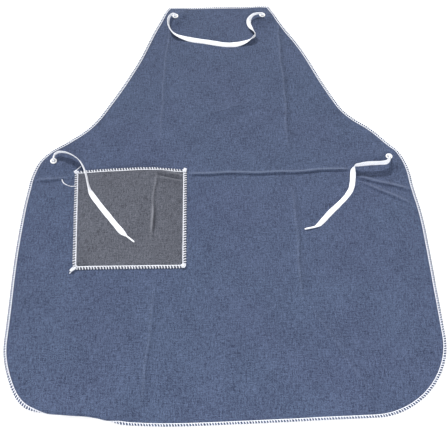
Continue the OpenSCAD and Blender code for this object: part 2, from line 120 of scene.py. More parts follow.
# The loops of the overlock: their two strands' places along the edge, the threads' width and
# thickness, how far they stand off the cloth, half of how far they reach past its edge, their
# slant as a share of a stitch, and how uneven they are: along the edge, as a share of a stitch,
# and across it.
LOOP_STRANDS = (-0.4, 0.4)
LOOP_WIDE, LOOP_THICK = 0.74, 0.55
LOOP_OFF = 0.32
LOOP_PAST = 0.18
LOOP_SLANT = 0.17
UNEVEN_ALONG, UNEVEN_ACROSS = 0.06, 0.15

# The twisted chain along the loops' inner ends: its radius across, its rise and fall, its strands'
# mean width and how much that changes.
CHAIN_RADIUS = 0.42
CHAIN_RISE = 0.22
CHAIN_WIDE, CHAIN_CHANGE = 0.62, 0.28

# Rows of a cloth's grid within a rounded corner, by the corner's radius.
CORNER_ROWS = {HEM_ROUND: 40, POCKET_ROUND: 10}

# The floor's height in metres, just below the lowest thread.
FLOOR_LEVEL = -0.0003


# ---------- camera ----------

def look_at(location, target):
    """The rotation that points a camera or light from one place to another."""
    away = np.array(location) - np.array(target)
    flat = math.hypot(away[0], away[1])
    return math.atan2(flat, away[2]), 0.0, math.atan2(away[1], away[0]) + math.pi / 2


def camera():
    """A camera beyond the hem, about 1.2 m up, looking down at the apron."""
    target = np.array([0.0022, -0.0752, 0.0])
    elevation = math.radians(56.9)
    turned = math.radians(-1.0)
    distance = 1.396
    out = np.array([math.sin(turned) * math.cos(elevation),
                    -math.cos(turned) * math.cos(elevation),
                    math.sin(elevation)])
    data = bpy.data.cameras.new("camera")
    data.lens = 63.1
    data.sensor_width = 36
    data.clip_start = 0.01
    seen = bpy.data.objects.new("camera", data)
    bpy.context.collection.objects.link(seen)
    seen.location = target + out * distance
    seen.rotation_euler = look_at(seen.location, target)
    bpy.context.scene.camera = seen


camera()


# ---------- outline ----------

def unit(v):
    return v / np.linalg.norm(v)


def heading(degrees):
    """The level direction at an angle from X."""
    turn = math.radians(degrees)
    return np.array([math.cos(turn), math.sin(turn)])


def rounded(a, b, c, radius, steps=24):
    """Points of the arc that rounds corner b, between neighbours a and c."""
    ab, cb = unit(a - b), unit(c - b)
    half = math.acos(np.clip(ab @ cb, -1, 1)) / 2
    centre = b + unit(ab + cb) * radius / math.sin(half)
    start = b + ab * radius / math.tan(half) - centre
    turn = math.pi - 2 * half
    way = 1 if ab[0] * cb[1] - ab[1] * cb[0] < 0 else -1
    angles = way * turn * np.linspace(0, 1, steps + 1)
    cos, sin = np.cos(angles), np.sin(angles)
    return centre + np.stack([start[0] * cos - start[1] * sin,
                              start[0] * sin + start[1] * cos], axis=1)


def rounded_outline(corners):
    """A closed outline through corners (x, y, radius), anticlockwise."""
    spots = [np.array(c[:2], float) for c in corners]
    count = len(corners)
    return np.concatenate([rounded(spots[i - 1], spots[i], spots[(i + 1) % count], corners[i][2])
                           for i in range(count)])


def body_outline():
    """The outline the cloth is cut to, but with its hem straight. placed() bows it."""
    right = [(HALF_WIDTH, HEM_CORNER_Y, HEM_ROUND),
             (HALF_WIDTH, SIDE_TOP, WAIST_ROUND),
             (ELBOW_HALF, SIDE_TOP + ELBOW_RISE, ELBOW_ROUND),
             (BIB_HALF, HALF_LENGTH, BIB_ROUND)]
    left = [(-x, y, r) for x, y, r in reversed(right)]
    return rounded_outline(right + left)


def pocket_outline():
    top, bottom, foot = POCKET_TOP_HALF, POCKET_BOTTOM_HALF, POCKET_X + POCKET_LEAN
    return rounded_outline([(foot + bottom, POCKET_LOW[1], POCKET_ROUND),
                            (POCKET_X + top, POCKET_HIGH[1], 1),
                            (POCKET_X - top, POCKET_HIGH[1], 1),
                            (foot - bottom, POCKET_LOW[1], POCKET_ROUND)])


class Edge:
    """A closed outline measured along its length."""

    def __init__(self, outline):
        closed = np.concatenate([outline, outline[:1]])
        steps = np.linalg.norm(np.diff(closed, axis=0), axis=1)
        keep = np.concatenate([[True], steps > 1e-6])
        closed = closed[keep]
        run = np.concatenate([[0], np.cumsum(np.linalg.norm(np.diff(closed, axis=0), axis=1))])
        self.length = run[-1]
        self.at = np.arange(0, self.length, 1.0)
        self.points = np.stack([np.interp(self.at, run, closed[:, k]) for k in (0, 1)], axis=1)

    def point(self, s):
        s = np.mod(s, self.length)
        x = np.interp(s, self.at, self.points[:, 0], period=self.length)
        y = np.interp(s, self.at, self.points[:, 1], period=self.length)
        return np.stack([x, y], axis=-1)

    def along(self, s, reach=1.5):
        ahead = self.point(s + reach) - self.point(s - reach)
        return ahead / np.linalg.norm(ahead, axis=-1, keepdims=True)

    def inside(self, s, inset):
        """The point that lies inset from the edge at s."""
        t = self.along(s)
        inward = np.stack([-t[..., 1], t[..., 0]], axis=-1)
        return self.point(s) + inward * np.asarray(inset)[..., None]

    def run(self, wanted):
        """Where the one stretch of the edge that satisfies wanted(points) starts and ends."""
        mask = wanted(self.points)
        first = int(np.argmax(mask & ~np.roll(mask, 1)))
        count = int(np.argmin(np.roll(mask, -first)))
        return self.at[first], self.at[first] + count


BODY = Edge(body_outline())
POCKET = Edge(pocket_outline())


# ---------- how the cloth lies ----------

def waves(x, y, size, seed, count=7):
    """Smooth bumps about size across, between -1 and 1."""
    draw = np.random.default_rng(seed)
    total = np.zeros(np.broadcast(x, y).shape)
    for _ in range(count):
        angle = draw.uniform(0, 2 * math.pi)
        length = size * draw.uniform(0.7, 1.5)
        phase = draw.uniform(0, 2 * math.pi)
        total += np.sin(2 * math.pi * (x * math.cos(angle) + y * math.sin(angle)) / length + phase)
    return total / (0.55 * count)


def smooth_step(t):
    t = np.clip(t, 0, 1)
    return t * t * (3 - 2 * t)


# How deep the hollow beside a fold line is, as a share of its height.
HOLLOW = 0.5


def crease(x, y, start, end, height, width, fade):
    """A pressed fold line: a narrow ridge with a hollow on its right, fading at both ends."""
    a, b = np.array(start, float), np.array(end, float)
    length = np.linalg.norm(b - a)
    t = (b - a) / length
    along = (x - a[0]) * t[0] + (y - a[1]) * t[1]
    aside = (x - a[0]) * -t[1] + (y - a[1]) * t[0]
    off = (aside - 1.6 * np.sin(along / 37) - 0.8 * np.sin(along / 13 + 1)) / width
    ends = smooth_step(along / fade) * smooth_step((length - along) / fade)
    return height * ends * (np.exp(-np.abs(off) ** 1.5) - HOLLOW * np.exp(-(off + 2) ** 2))


# Pressed fold lines: start, end, height, half-width and how gently each end fades.
CREASES = [
    ((-68, 14), (243, 21), 3.0, 3.2, 25),
    ((-352, 4), (-272, 10), 2.0, 4, 30),
    ((240, 6), (350, -30), 3.0, 3.4, 25),
    ((243, -2), (346, -62), 2.4, 3.4, 35),
    ((-104, 440), (-120, 60), 1.8, 6, 90),
    ((-130, -440), (-118, -196), 1.6, 6, 60),
    ((126, 40), (124, 440), 2.0, 6, 90),
    ((131, -260), (126, 4), 1.9, 6, 50),
    ((129, -240), (236, -430), 2.4, 11, 70),
    ((-40, 150), (60, 190), 1.4, 14, 40),
    ((30, -300), (110, -240), 1.4, 16, 40),
]

# Places where the lying cloth is pulled out of its cut shape: x, y, reach, and how far in x and y.
PULLS = [
    (165, 325, 70, 5.5, 2.0), (285, 115, 50, 5.0, 5.0), (350, 2, 60, -9.0, -2.5),
    (-165, 300, 75, 8.0, -3.5), (-203, 212, 65, 7.0, -3.5), (-262, 122, 60, 6.0, -6.0),
    (-346, 18, 50, 5.5, -1.0), (-362, -160, 90, -3.0, 0.0), (-322, -420, 42, -5.5, -6.0),
    (60, -460, 160, 0.0, 3.5), (-90, -470, 90, 0.0, -2.0),
]

# Half-width of the rubbed line and of the painted shade beside it on a crease, and how much each
# millimetre of a crease's height rubs and shades it.
LINE_WIDTH = 1.8
RUB_AND_SHADE = 0.55

# The stretch of hem that is rolled under, on the left: its ends, its width and the roll's radius.
ROLL_FROM, ROLL_TO = -316, -138
ROLL_WIDE = 14
ROLL_RADIUS = 2.6


def bow(x):
    """How far the hem lies below the level of its corners."""
    middle_drop = HALF_LENGTH + HEM_CORNER_Y
    arc = x ** 2 / (2 * HEM_BOW_ROUND)
    tangent = HEM_BOW_ROUND * math.tan(HEM_SLOPE)
    line = np.abs(x) * math.tan(HEM_SLOPE) - HEM_BOW_ROUND * (1 / math.cos(HEM_SLOPE) - 1)
    return np.maximum(middle_drop - np.where(np.abs(x) < tangent, arc, line), 0)


def placed(x, y):
    """Where a point of the cut cloth lies, seen from above."""
    down = y - bow(x) * smooth_step((HEM_CORNER_Y + HEM_ROUND - y) / HEM_ROUND)
    dx, dy = 0, 0
    for px, py, reach, pull_x, pull_y in PULLS:
        near = np.exp(-((x - px) ** 2 + (y - py) ** 2) / reach ** 2)
        dx, dy = dx + pull_x * near, dy + pull_y * near
    return x + dx, down + dy


def roll_line(x):
    """The height in Y at which the hem starts to roll under, and how wide the rolled strip is."""
    share = np.clip((x - ROLL_FROM) / (ROLL_TO - ROLL_FROM), 0, 1)
    wide = ROLL_WIDE * np.sin(np.pi * share) ** 1.3
    over = np.clip(np.abs(x) - (HALF_WIDTH - HEM_ROUND), 0, HEM_ROUND - 1)
    cut_y = HEM_CORNER_Y + HEM_ROUND - np.sqrt(HEM_ROUND ** 2 - over ** 2)
    return placed(x, cut_y)[1] + wide, wide


def lifted(x, y):
    """How far the knots behind the eyelets lift the cloth."""
    total = 0
    for i, spot in enumerate(EYELETS.values()):
        dx, dy = x - spot[0], y - spot[1]
        r = np.hypot(dx, dy)
        turn = np.arctan2(dy, dx)
        t = np.clip((r - KNOT_RADIUS - 2) / (LIFT_RADIUS - KNOT_RADIUS - 2), 0, 1)
        folds = 1 + 0.3 * np.sin(np.pi * t) * np.sin(3 * turn + 1.7 * i)
        total = total + LIFT * (0.5 + 0.5 * np.cos(np.pi * t)) ** 2 * folds
    return total


def cloth_under(x, y):
    """Height of the body cloth's underside, before its hem is rolled."""
    up = lifted(x, y)
    calm = 1 - np.clip(up / (0.6 * LIFT), 0, 1)
    low = 0.6 * (1 + waves(x, y, 190, 3)) + 0.25 * (1 + waves(x, y, 60, 5))
    marks = sum(crease(x, y, *c) for c in CREASES)
    line, wide = roll_line(x)
    curl = np.minimum(wide / ROLL_RADIUS, np.pi)
    raised = (ROLL_RADIUS * (1 - np.cos(curl)) + 1.6 * smooth_step(curl / 2)) * np.exp(
        -np.maximum((y - line) / 38, 0) ** 2)
    return REST * calm + up + calm * np.maximum(low + marks, 0) + raised


def cloth_top(x, y):
    return cloth_under(x, y) + THICK


def lay(x, y, above):
    """Points of the body in space: places on the cut cloth, and heights above its underside."""
    x, y = placed(x, y)
    line, wide = roll_line(x)
    past = np.where(wide > 0.2, np.maximum(line - y, 0), 0)
    turn = np.minimum(past, np.minimum(wide, np.pi * ROLL_RADIUS)) / ROLL_RADIUS
    z = cloth_under(x, np.where(past > 0, line, y))
    rolled_y = line - ROLL_RADIUS * np.sin(turn) - (past - turn * ROLL_RADIUS) * np.cos(turn)
    z = z - ROLL_RADIUS * (1 - np.cos(turn)) + above * np.cos(turn)
    y = np.where(past > 0, rolled_y - above * np.sin(turn), y)
    return np.stack(np.broadcast_arrays(x, y, z), axis=-1)


def pocket_share(x, y):
    """Where a point is on the pocket, from 0 to 1: across, and up from the bottom seam."""
    up = np.clip((y - POCKET_LOW[1]) / POCKET_DEPTH, 0, 1)
    half = POCKET_BOTTOM_HALF + (POCKET_TOP_HALF - POCKET_BOTTOM_HALF) * up - POCKET_MARGIN
    centre = POCKET_X + POCKET_LEAN * (1 - up)
    across = np.clip((x - centre + half) / (2 * half), 0, 1)
    rise = np.clip((y - POCKET_LOW[1] - POCKET_MARGIN) / (POCKET_DEPTH - POCKET_MARGIN), 0, 1)
    return across, rise


POCKET_CREASES = [
    ((-125, -130), (-121, 24), 1.3, 2.8, 30),
    ((-124, -118), (-122, -48), 2.2, 2.6, 25),
    ((-152, -160), (-150, 10), 0.9, 14, 50),
    ((-64, 13), (-122, 21), 1.6, 2.6, 12),
    ((-122, 10), (-66, 2), -2.6, 4.0, 14),
]


def pocket_top(x, y):
    """Height of the pocket cloth's upper face."""
    across, rise = pocket_share(x, y)
    peak = np.where(across < 0.72, across / 0.72, (1 - across) / 0.28)
    slack = 0.5 * np.sin(np.pi * across) + 0.5 * np.sin(np.pi / 2 * peak) ** 2
    held = smooth_step(across / 0.06) * smooth_step((1 - across) / 0.06)
    held = held * smooth_step(rise / 0.08)
    marks = sum(crease(x, y, *c) for c in POCKET_CREASES) + 0.3 * waves(x, y, 55, 11)
    base = cloth_top(x, y) + THICK + 0.4
    return base + (POCKET_GAPE * slack * rise ** 1.2 + marks) * held


# ---------- meshes ----------

def new_mesh(name, points, faces, material, attributes=None):
    """A mesh object from points in millimetres, with named vectors kept on its points."""
    mesh = bpy.data.meshes.new(name)
    mesh.from_pydata((np.asarray(points) * MM).tolist(), [], [list(map(int, f)) for f in faces])
    for key, values in (attributes or {}).items():
        layer = mesh.attributes.new(key, "FLOAT_VECTOR", "POINT")
        layer.data.foreach_set("vector", np.asarray(values, np.float32).ravel())
    mesh.materials.append(material)
    mesh.shade_smooth()
    made = bpy.data.objects.new(name, mesh)
    bpy.context.collection.objects.link(made)
    return made


def grid_faces(rows, columns):
    a = (np.arange(rows - 1)[:, None] * columns + np.arange(columns - 1)[None, :]).ravel()
    return np.stack([a, a + 1, a + columns + 1, a + columns], axis=1)


def shell(lower, upper, rows, columns):
    """Faces and points of a closed sheet between two grids."""
    count = rows * columns
    top = grid_faces(rows, columns) + count
    low = grid_faces(rows, columns)[:, ::-1]
    ids = np.arange(count).reshape(rows, columns)
    rim = np.concatenate([ids[0, :], ids[1:, -1], ids[-1, -2::-1], ids[-2:0:-1, 0]])
    ahead = np.roll(rim, -1)
    walls = np.stack([rim, ahead, ahead + count, rim + count], axis=1)
    return np.concatenate([lower, upper]), np.concatenate([top, low, walls])


def tube_points(path, side, width, thick, sides):
    """Rings round a path. side is the direction of each ring's width. thick is its other size."""
    ahead = np.gradient(path, axis=0)
    ahead /= np.maximum(np.linalg.norm(ahead, axis=1, keepdims=True), 1e-9)
    wide = side - ahead * np.sum(side * ahead, axis=1, keepdims=True)
    wide /= np.maximum(np.linalg.norm(wide, axis=1, keepdims=True), 1e-9)
    thin = np.cross(ahead, wide)
    turn = 2 * np.pi * np.arange(sides) / sides
    cos, sin = np.cos(turn), np.sin(turn)
    rings = (path[:, None, :]
             + wide[:, None, :] * (cos[None, :] * np.asarray(width)[:, None] / 2)[..., None]
             + thin[:, None, :] * (sin[None, :] * np.asarray(thick)[:, None] / 2)[..., None])
    return rings.reshape(-1, 3)


def tube_faces(count, sides, offset=0):
    a = np.arange(count - 1)[:, None] * sides + np.arange(sides)[None, :]
    b = np.arange(count - 1)[:, None] * sides + (np.arange(sides)[None, :] + 1) % sides
    quads = np.stack([a, b, b + sides, a + sides], axis=-1).reshape(-1, 4) + offset
    ends = [list(range(offset + sides - 1, offset - 1, -1)),
            list(range(offset + (count - 1) * sides, offset + count * sides))]
    return quads.tolist() + ends


class Bundle:
    """Tubes that are gathered into one mesh."""

    def __init__(self):
        self.points, self.faces, self.marks, self.count = [], [], [], 0

    def tube(self, path, side, width, thick=None, sides=6):
        path = np.asarray(path, float)
        width = np.broadcast_to(np.asarray(width, float), (len(path),))
        thick = width if thick is None else np.broadcast_to(np.asarray(thick, float), (len(path),))
        side = np.broadcast_to(np.asarray(side, float), path.shape)
        self.points.append(tube_points(path, side, width, thick, sides))
        self.faces += tube_faces(len(path), sides, self.count)
        run = np.concatenate([[0], np.cumsum(np.linalg.norm(np.diff(path, axis=0), axis=1))])
        turn = np.arange(sides) / sides
        mark = np.stack(np.broadcast_arrays(run[:, None], turn[None, :], 0.0), axis=-1)
        self.marks.append(mark.reshape(-1, 3))
        self.count += len(path) * sides

    def make(self, name, material):
        return new_mesh(name, np.concatenate(self.points), self.faces, material,
                        {"thread_at": np.concatenate(self.marks)})


# ---------- materials ----------

def material(name):
    made = bpy.data.materials.new(name)
    made.use_nodes = True
    tree = made.node_tree
    return made, tree, tree.nodes["Principled BSDF"]


def add(tree, kind, settings=None, **inputs):
    """A node with its settings and inputs, by name or as i0, i1 and so on.

    An input is a value or another node's output.
    """
    made = tree.nodes.new(kind)
    for key, value in (settings or {}).items():
        setattr(made, key, value)
    for key, value in inputs.items():
        numbered = key[0] == "i" and key[1:].isdigit()
        socket = made.inputs[int(key[1:]) if numbered else key]
        if isinstance(value, bpy.types.NodeSocket):
            tree.links.new(value, socket)
        else:
            socket.default_value = value
    return made


def maths(tree, operation, a, b=0.0):
    return add(tree, "ShaderNodeMath", {"operation": operation}, i0=a, i1=b).outputs[0]


def colour(r, g, b):
    """A linear colour from 8-bit display values."""
    def linear(c):
        c /= 255
        return c / 12.92 if c <= 0.04045 else ((c + 0.055) / 1.055) ** 2.4
    return linear(r), linear(g), linear(b), 1.0


def stored(tree, attribute):
    """A named vector of the mesh."""
    return add(tree, "ShaderNodeAttribute", {"attribute_name": attribute}).outputs["Vector"]


def place_of(tree, attribute, scale):
    """A named vector of the mesh, stretched."""
    return add(tree, "ShaderNodeVectorMath", {"operation": "MULTIPLY"},
               i0=stored(tree, attribute), i1=scale).outputs[0]


def noise(tree, vector, detail=2.0, roughness=0.5, scale=1.0):
    return add(tree, "ShaderNodeTexNoise", Vector=vector, Scale=scale, Detail=detail,
               Roughness=roughness).outputs["Fac"]


def mix(tree, share, a, b, blend="MIX"):
    made = add(tree, "ShaderNodeMix", {"data_type": "RGBA", "blend_type": blend})
    for socket, value in zip((made.inputs[0], made.inputs[6], made.inputs[7]), (share, a, b)):
        if isinstance(value, bpy.types.NodeSocket):
            tree.links.new(value, socket)
        else:
            socket.default_value = value
    return made.outputs[2]


def ramp(tree, value, low, high):
    return add(tree, "ShaderNodeMapRange", {"clamp": True}, i0=value, i1=low, i2=high).outputs[0]


def dress(tree, skin, base, values, relief=None, strength=0.0, distance=0.0):
    """Gives a shader its colour, its plain values and its relief."""
    tree.links.new(base, skin.inputs["Base Color"])
    for key, value in values.items():
        skin.inputs[key].default_value = value
    if relief is not None:
        bump = add(tree, "ShaderNodeBump", Strength=strength, Distance=distance, Height=relief)
        tree.links.new(bump.outputs[0], skin.inputs["Normal"])


def twill(tree, attribute, pitch, way):
    """The raised diagonal cords of twill: 0 in the grooves and 1 on the cords."""
    lean = math.radians(52) * way
    across = (2 * math.pi * math.cos(lean) / pitch, 2 * math.pi * math.sin(lean) / pitch, 0)
    wobble = noise(tree, place_of(tree, attribute, (0.5, 0.12, 0)), 1)
    line = add(tree, "ShaderNodeVectorMath", {"operation": "DOT_PRODUCT"},
               i0=stored(tree, attribute), i1=across).outputs["Value"]
    line = maths(tree, "ADD", line, maths(tree, "MULTIPLY", wobble, 5.0))
    return add(tree, "ShaderNodeMath", {"operation": "MULTIPLY_ADD"},
               i0=maths(tree, "SINE", line), i1=0.5, i2=0.5).outputs[0]


def denim(name, dark, light, fleck, warm, way):
    """Twill cotton: dyed warp yarns, pale weft specks between them, and uneven yarns all over, with
    rubbed dye and painted shade along its creases.

    way is the side that the twill leans to: 1 or -1. cords is 0.5 in the grooves and 1.5 on top.
    """
    made, tree, skin = material(name)
    at = "cloth_at"
    cords = maths(tree, "ADD", twill(tree, at, 1.3, way), 0.5)
    heather = noise(tree, place_of(tree, at, (0.7, 0.6, 0)), 2, 0.7)
    warps = noise(tree, place_of(tree, at, (0.85, 0.06, 0)), 2, 0.6)
    wefts = noise(tree, place_of(tree, at, (0.06, 0.7, 0)), 2, 0.6)
    broad = noise(tree, place_of(tree, at, (0.02, 0.015, 0)), 4, 0.6)
    mottle = noise(tree, place_of(tree, at, (0.3, 0.24, 0)), 2, 0.6)
    tone = maths(tree, "MULTIPLY", ramp(tree, heather, 0.34, 0.66), 0.38)
    for layer, share in ((warps, 0.26), (wefts, 0.18), (mottle, 0.2), (broad, 0.08)):
        tone = maths(tree, "ADD", tone, maths(tree, "MULTIPLY", ramp(tree, layer, 0.3, 0.7), share))
    base = mix(tree, ramp(tree, tone, 0.27, 0.83), dark, light)
    grain = noise(tree, place_of(tree, at, (1.1, 0.8, 0)), 2, 0.6)
    specks = maths(tree, "MULTIPLY", ramp(tree, grain, 0.5, 0.66),
                   maths(tree, "SUBTRACT", 1.0, cords))
    base = mix(tree, maths(tree, "MULTIPLY", specks, 0.6), base, fleck)
    # Crease marks: rubbed dye lightens the ridges, and painted shade darkens the hollows beside
    # them.
    rubbed_and_shaded = add(tree, "ShaderNodeSeparateXYZ", Vector=stored(tree, at)).outputs[2]
    base = mix(tree, ramp(tree, rubbed_and_shaded, 0.0, 2.2), base, fleck)
    base = mix(tree, ramp(tree, rubbed_and_shaded, 0.0, -1.0), base, dark)
    hue = ramp(tree, noise(tree, place_of(tree, at, (0.006, 0.007, 0)), 2, 0.5), 0.35, 0.65)
    base = mix(tree, maths(tree, "MULTIPLY", hue, 0.16), base, warm, "MULTIPLY")
    relief = maths(tree, "ADD", maths(tree, "MULTIPLY", cords, 0.3),
                   maths(tree, "MULTIPLY", heather, 0.4))
    dress(tree, skin, base, {"Roughness": 0.92, "Specular IOR Level": 0.12,
                             "Sheen Weight": 0.04, "Sheen Roughness": 0.6}, relief, 0.8, 0.0006)
    return made


def thread_material():
    """Bulky white overlock thread: fine twisted fibres."""
    made, tree, skin = material("overlock_thread")
    at = "thread_at"
    kept = add(tree, "ShaderNodeSeparateXYZ", Vector=stored(tree, at))
    twist = maths(tree, "ADD", maths(tree, "MULTIPLY", kept.outputs[0], 5.2),
                  maths(tree, "MULTIPLY", kept.outputs[1], 2 * math.pi * 2))
    plies = maths(tree, "SINE", twist)
    fibres = noise(tree, place_of(tree, at, (0.7, 9, 0)), 3)
    base = mix(tree, ramp(tree, fibres, 0.3, 0.7), colour(196, 199, 209), colour(232, 234, 240))
    relief = maths(tree, "ADD", maths(tree, "MULTIPLY", plies, 0.5), fibres)
    dress(tree, skin, base, {"Roughness": 0.75, "Sheen Weight": 0.2}, relief, 0.7, 0.0001)
    return made


def tape_material():
    """Flat woven cotton tape: a herringbone of fine yarns, with painted shade in the grooves
    between them.
    """
    made, tree, skin = material("cotton_tape")
    at = "tape_at"
    kept = add(tree, "ShaderNodeSeparateXYZ", Vector=stored(tree, at))
    along, across = kept.outputs[0], kept.outputs[1]
    folded = maths(tree, "PINGPONG", across, 2.5)
    diagonal = maths(tree, "ADD", maths(tree, "MULTIPLY", along, 2 * math.pi / 1.4),
                     maths(tree, "MULTIPLY", folded, 2 * math.pi / 1.3))
    yarns = maths(tree, "SINE", diagonal)
    wefts = maths(tree, "SINE", maths(tree, "MULTIPLY", along, 2 * math.pi / 0.7))
    soft = noise(tree, place_of(tree, at, (0.35, 1.1, 0)), 3)
    base = mix(tree, ramp(tree, soft, 0.25, 0.75), colour(222, 225, 234), colour(250, 251, 254))
    # Painted shade: the grooves between the yarns are painted a greyer white.
    grooves = ramp(tree, yarns, -1.0, -0.2)
    base = mix(tree, maths(tree, "SUBTRACT", 1.0, grooves), base, colour(196, 200, 212))
    relief = maths(tree, "ADD", maths(tree, "MULTIPLY", yarns, 0.5),
                   maths(tree, "ADD", maths(tree, "MULTIPLY", wefts, 0.2), soft))
    dress(tree, skin, base, {"Roughness": 0.85, "Sheen Weight": 0.25}, relief, 0.8, 0.00025)
    return made


def enamel_material():
    """White baked enamel on the eyelets, with small greyer specks of wear."""
    made, tree, skin = material("eyelet_enamel")
    kept = add(tree, "ShaderNodeTexCoord")
    specks = noise(tree, kept.outputs["Object"], 3, 0.6, 900)
    base = mix(tree, ramp(tree, specks, 0.55, 0.75), colour(226, 227, 228), colour(196, 195, 192))
    rough = add(tree, "ShaderNodeMapRange", i0=specks, i3=0.28, i4=0.45)
    tree.links.new(rough.outputs[0], skin.inputs["Roughness"])
    dress(tree, skin, base, {"Coat Weight": 0.3}, specks, 0.15, 0.0002)
    return made


def washer_material():
    """Nickel-plated washers with fine uneven marks."""
    made, tree, skin = material("washer_metal")
    kept = add(tree, "ShaderNodeTexCoord")
    marks = noise(tree, kept.outputs["Object"], 4, 0.7, 1400)
    base = mix(tree, marks, colour(168, 170, 174), colour(206, 207, 210))
    dress(tree, skin, base, {"Metallic": 1.0})
    rough = add(tree, "ShaderNodeMapRange", i0=marks, i3=0.25, i4=0.5)
    tree.links.new(rough.outputs[0], skin.inputs["Roughness"])
    return made


def film_material():
    """The pale glossy film wound round the ties' ends."""
    made, tree, skin = material("tip_film")
    streaks = noise(tree, stored(tree, "thread_at"), 3, 0.6, 1.3)
    base = mix(tree, streaks, colour(214, 218, 228), colour(247, 249, 253))
    dress(tree, skin, base, {"Roughness": 0.28, "Coat Weight": 0.5}, streaks, 0.3, 0.0002)
    return made


BLUE = denim("denim", colour(20, 27, 48), colour(78, 91, 117), colour(116, 127, 148),
             (0.95, 0.72, 0.86, 1), 1)
GREY = denim("pocket_denim", colour(30, 32, 40), colour(92, 95, 105), colour(140, 142, 150),
             (0.95, 0.88, 0.86, 1), -1)
THREAD = thread_material()
COTTON = tape_material()
ENAMEL = enamel_material()
PLATED = washer_material()
FILM = film_material()


# ---------- the body ----------

def outline_half(edge, y):
    """Half the outline's width at a height, measured on its right side."""
    right = edge.points[edge.points[:, 0] >= 0]
    order = np.argsort(right[:, 1])
    return np.interp(y, right[order, 1], right[order, 0])


def corner_rows(low, high, spacing, radius):
    """Heights of a grid's rows. They crowd together where rounded corners meet the bottom edge."""
    turn = np.linspace(0, np.pi / 2, CORNER_ROWS[radius])
    corner = low + radius * (1 - np.cos(turn))
    rest = np.linspace(low + radius, high, int((high - low - radius) / spacing))
    return np.concatenate([corner, rest[1:]])


def cloth_grid(edge, centre, low, high, radius, spacing, columns):
    """Places on a grid that fills an outline, row by row. centre(y) is the middle of a row."""
    y = corner_rows(low, high, spacing, radius)
    half = np.maximum(outline_half(edge, y), 1)
    u = np.linspace(-1, 1, columns)
    x = centre(y)[:, None] + half[:, None] * u[None, :]
    return x, np.broadcast_to(y[:, None], x.shape)


def crease_wear_and_shade(x, y, creases):
    """Rubbed dye along a pressed crease, up to 1, and painted shade in the hollow beside it, down
    to -1. A dip, of negative height, is painted dark along its middle and pale beside it.
    """
    total = 0
    for start, end, height, width, fade in creases:
        mark = crease(x, y, start, end, 1.0, min(width, LINE_WIDTH), fade)
        total = total + RUB_AND_SHADE * height * (LINE_WIDTH / max(width, LINE_WIDTH)) * mark
    return np.clip(total, -1, 1)


def cloth_mesh(name, lower, upper, x, y, worn_and_shaded, finish):
    """A closed sheet of cloth between two grids of points, which keeps its places for the weave and
    its crease marks: rubbed dye and painted shade.
    """
    at = np.stack([x, y, worn_and_shaded], axis=-1).reshape(-1, 3)
    points, faces = shell(lower.reshape(-1, 3), upper.reshape(-1, 3), *x.shape)
    return new_mesh(name, points, faces, finish, {"cloth_at": np.concatenate([at, at])})


def body_cloth():
    spacing, columns = (2.2, 270) if FINE else (3.0, 200)
    x, y = cloth_grid(BODY, lambda y: 0 * y, HEM_CORNER_Y + 0.5, HALF_LENGTH - 0.5, HEM_ROUND,
                      spacing, columns)
    # Rubbed dye on the creases' ridges, and painted shade in the hollows beside them.
    worn_and_shaded = crease_wear_and_shade(*placed(x, y), CREASES)
    made = cloth_mesh("body_cloth", lay(x, y, 0), lay(x, y, THICK), x, y, worn_and_shaded, BLUE)
    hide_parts("skirt_panel", "bib_panel")
    fold(made)


def fold(piece):
    """Bakes the piece's place into its mesh."""
    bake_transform(piece)


def pocket_middle(y):
    """The pocket's middle line."""
    return POCKET_X + POCKET_LEAN * (POCKET_HIGH[1] - y) / POCKET_DEPTH


def pocket_cloth():
    spacing, columns = (1.8, 120) if FINE else (3.0, 70)
    straight = Edge(POCKET.points - np.stack([pocket_middle(POCKET.points[:, 1]),
                                              0 * POCKET.points[:, 1]], axis=1))
    x, y = cloth_grid(straight, pocket_middle, POCKET_LOW[1] + 0.5, POCKET_HIGH[1] - 0.3,
                      POCKET_ROUND, spacing, columns)
    top = pocket_top(x, y)
    # The pocket's creases get rubbed dye and painted shade too; the dip below its mouth is painted
    # dark.
    made = cloth_mesh("pocket_cloth", np.stack([x, y, top - THICK], axis=-1),
                      np.stack([x, y, top], axis=-1), x, y, crease_wear_and_shade(x, y, POCKET_CREASES), GREY)
    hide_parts("pocket_panel")
    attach(made, "skirt")


# ---------- overlock ----------

def stretch(low, high, side=0, centre=0):
    """A test for points between two heights. side 1 or -1 keeps those right or left of centre."""
    def wanted(points):
        x, y = points[:, 0] - centre, points[:, 1]
        return (y >= low) & (y < high) & ((side == 0) | (side * x > 0))
    return wanted


def overlock(part, edge, wanted, pitch, band, surface):
    """Threads along a stretch of edge: loops over the cut, and a chain at their inner ends.

    surface(x, y, above) gives points in space at heights above the cloth's underside.
    """
    bundle = Bundle()
    start, end = edge.run(wanted)
    count = int(round((end - start) / pitch))
    step = (end - start) / count
    samples = 9 if FINE else 6
    phase = np.arange(count * samples + 1) / samples
    turn = 2 * np.pi * phase
    stitches = np.arange(count + 1)
    local = np.interp(phase, stitches, random.normal(0, UNEVEN_ALONG, count + 1))
    uneven = np.interp(phase, stitches, random.normal(0, UNEVEN_ACROSS, count + 1))
    s = start + step * (phase + local + LOOP_SLANT * np.sin(turn))
    depth = band * (0.5 + 0.5 * np.cos(turn)) - LOOP_PAST * (1 - np.cos(turn)) + uneven
    over = np.sin(turn)
    above = THICK / 2 + (THICK / 2 + LOOP_OFF) * np.sign(over) * np.abs(over) ** 0.35
    side = np.column_stack([edge.along(s), 0 * s])
    for shift in LOOP_STRANDS:
        spots = edge.inside(s + shift, depth)
        bundle.tube(surface(spots[:, 0], spots[:, 1], above), side, LOOP_WIDE, LOOP_THICK)
    chain(bundle, edge, start, end, step, band, surface)
    made = bundle.make(f"{part}_threads", THREAD)
    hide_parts(f"{part}_overlock")
    return made


